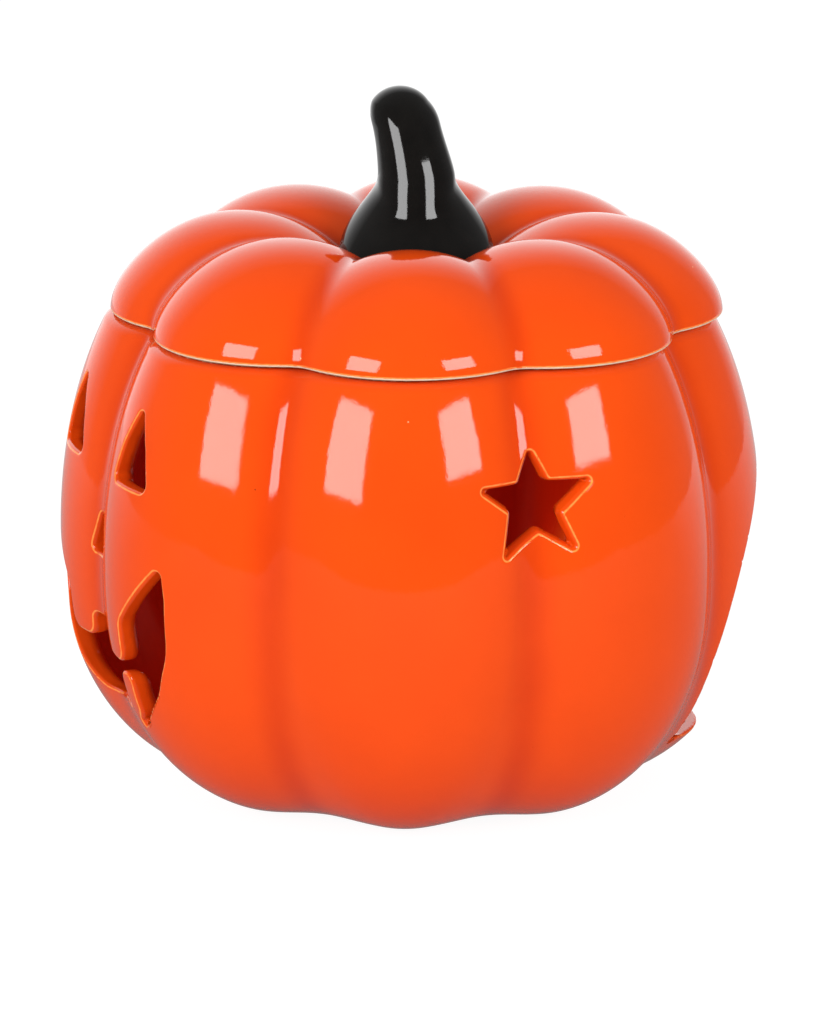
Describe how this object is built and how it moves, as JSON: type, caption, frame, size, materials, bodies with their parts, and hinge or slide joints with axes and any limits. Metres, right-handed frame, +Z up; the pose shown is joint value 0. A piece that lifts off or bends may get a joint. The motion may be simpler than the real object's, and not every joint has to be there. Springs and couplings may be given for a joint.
{
  "type": "pumpkin lantern",
  "caption": "Hollow lobed ceramic pumpkin with a cut-out grinning face, star cut-outs, a lift-off lid with a stem, and an arched rear doorway for a tealight.",
  "frame": {"origin": "centre of the flat foot, on the ground plane", "axes": "+Z up, -Y towards the side the face looks at, +Y towards the rear doorway, +X towards one star cut-out"},
  "size_m": [0.1442, 0.1421, 0.1499],
  "materials": {
    "orange_glaze": "glossy orange glaze over cream earthenware, unglazed at the foot and at the lid's seat",
    "black_glaze": "glossy black glaze",
    "cup_aluminium": "thin bright drawn foil",
    "wax": "satin translucent paraffin wax",
    "wick_cotton": "waxed braided cotton",
    "tab_steel": "thin tinned sheet"
  },
  "bodies": {
    "lantern": {"body_shell": "orange_glaze"},
    "lid": {"lid_shell": "orange_glaze", "stem": "black_glaze"},
    "tealight": {"tealight_cup": "cup_aluminium", "tealight_wax": "wax", "tealight_wick": "wick_cotton", "wick_tab": "tab_steel"}
  },
  "joints": [
    {"name": "lid_lift", "type": "slide", "parent": "lantern", "child": "lid", "axis": [0, 0, 1], "range_m": [0, 0.06]},
    {"name": "tealight_slide", "type": "slide", "parent": "lantern", "child": "tealight", "axis": [0, 0.9511, 0.309], "range_m": [0, 0.11]}
  ]
}
